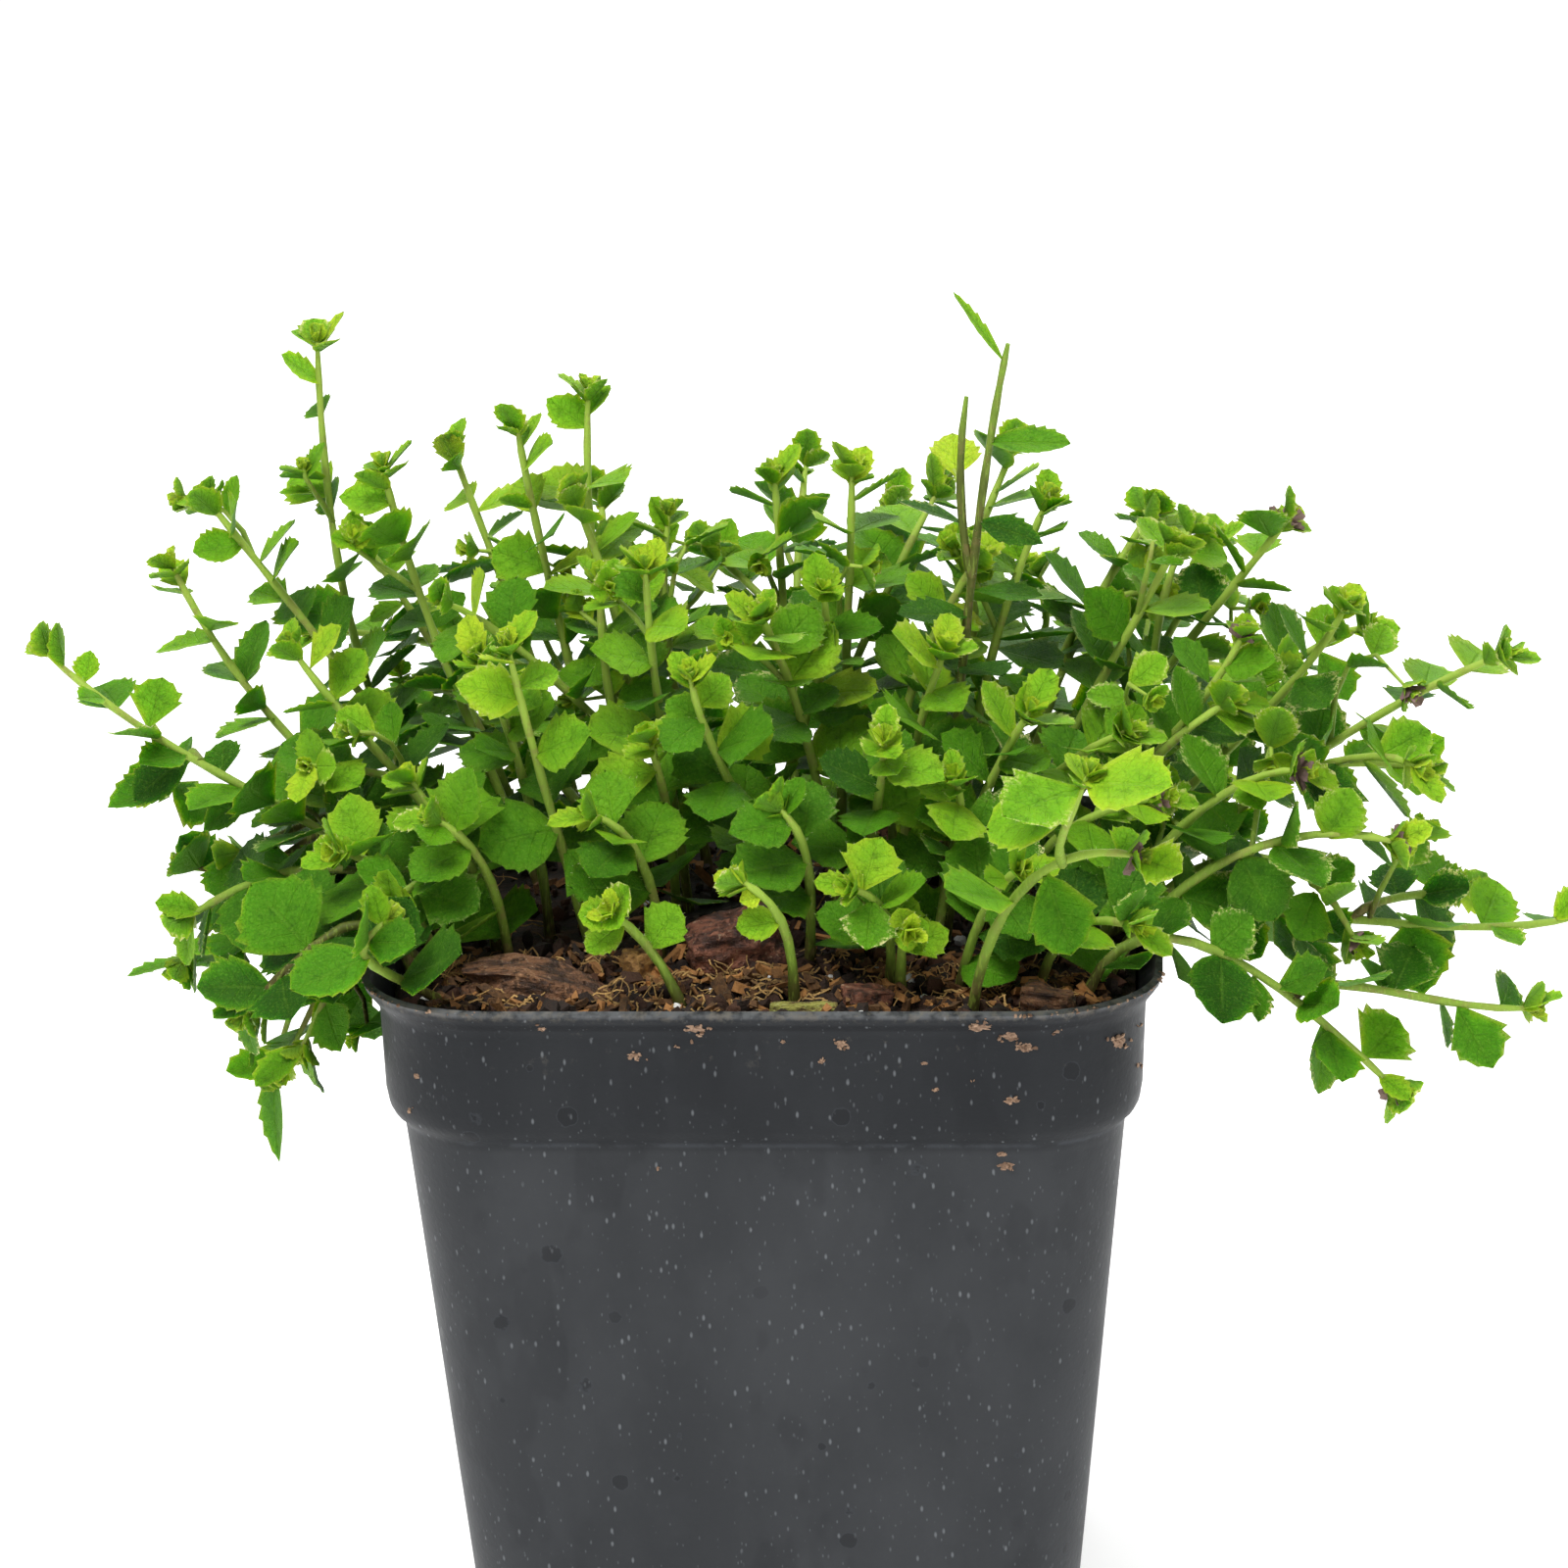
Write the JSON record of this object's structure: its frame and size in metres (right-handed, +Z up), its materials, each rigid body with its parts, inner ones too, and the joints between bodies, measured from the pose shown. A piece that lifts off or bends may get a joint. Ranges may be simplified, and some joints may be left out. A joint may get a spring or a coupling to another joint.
{
  "type": "potted creeping plant",
  "caption": "Low creeping herb with small round toothed leaves on pale green stems, growing in bark potting mix in a small square dark plastic nursery pot.",
  "frame": {"origin": "middle of the pot's flat base, on the surface that it stands on", "axes": "+Z up, -Y is the front that the picture shows, +X to the right seen from the front"},
  "size_m": [0.1894, 0.143, 0.1638],
  "materials": {
    "pot_plastic": "thin moulded dark grey plastic, slightly satin",
    "potting_mix": "dark, rough and fibrous",
    "bark": "rough, reddish brown",
    "moss": "soft, mossy",
    "leaf_green": "finely hairy leaves, slightly satin"
  },
  "bodies": {
    "root": {"pot": "pot_plastic", "potting_mix": "potting_mix", "bark_long": "bark", "bark_red": "bark", "bark_front": "bark", "bark_gold": "bark", "bark_right": "bark", "bark_back": "bark", "mossy_twig": "moss", "leafy_stem_01": "leaf_green", "leafy_stem_02": "leaf_green", "leafy_stem_03": "leaf_green", "leafy_stem_04": "leaf_green", "leafy_stem_05": "leaf_green", "leafy_stem_06": "leaf_green", "leafy_stem_07": "leaf_green", "leafy_stem_08": "leaf_green", "leafy_stem_09": "leaf_green", "leafy_stem_10": "leaf_green", "leafy_stem_11": "leaf_green", "leafy_stem_12": "leaf_green", "leafy_stem_13": "leaf_green", "leafy_stem_14": "leaf_green", "leafy_stem_15": "leaf_green", "leafy_stem_16": "leaf_green", "leafy_stem_17": "leaf_green", "leafy_stem_18": "leaf_green", "leafy_stem_19": "leaf_green", "leafy_stem_20": "leaf_green", "leafy_stem_21": "leaf_green", "leafy_stem_22": "leaf_green", "leafy_stem_23": "leaf_green", "leafy_stem_24": "leaf_green", "leafy_stem_25": "leaf_green", "leafy_stem_26": "leaf_green", "leafy_stem_27": "leaf_green", "leafy_stem_28": "leaf_green", "leafy_stem_29": "leaf_green", "leafy_stem_30": "leaf_green", "leafy_stem_31": "leaf_green", "leafy_stem_32": "leaf_green", "leafy_stem_33": "leaf_green", "leafy_stem_34": "leaf_green", "leafy_stem_35": "leaf_green", "leafy_stem_36": "leaf_green", "leafy_stem_37": "leaf_green", "leafy_stem_38": "leaf_green", "leafy_stem_39": "leaf_green", "leafy_stem_40": "leaf_green", "leafy_stem_41": "leaf_green", "leafy_stem_42": "leaf_green", "leafy_stem_43": "leaf_green", "leafy_stem_44": "leaf_green", "leafy_stem_45": "leaf_green", "leafy_stem_46": "leaf_green", "leafy_stem_47": "leaf_green", "leafy_stem_48": "leaf_green", "leafy_stem_49": "leaf_green", "leafy_stem_50": "leaf_green"}
  },
  "joints": []
}
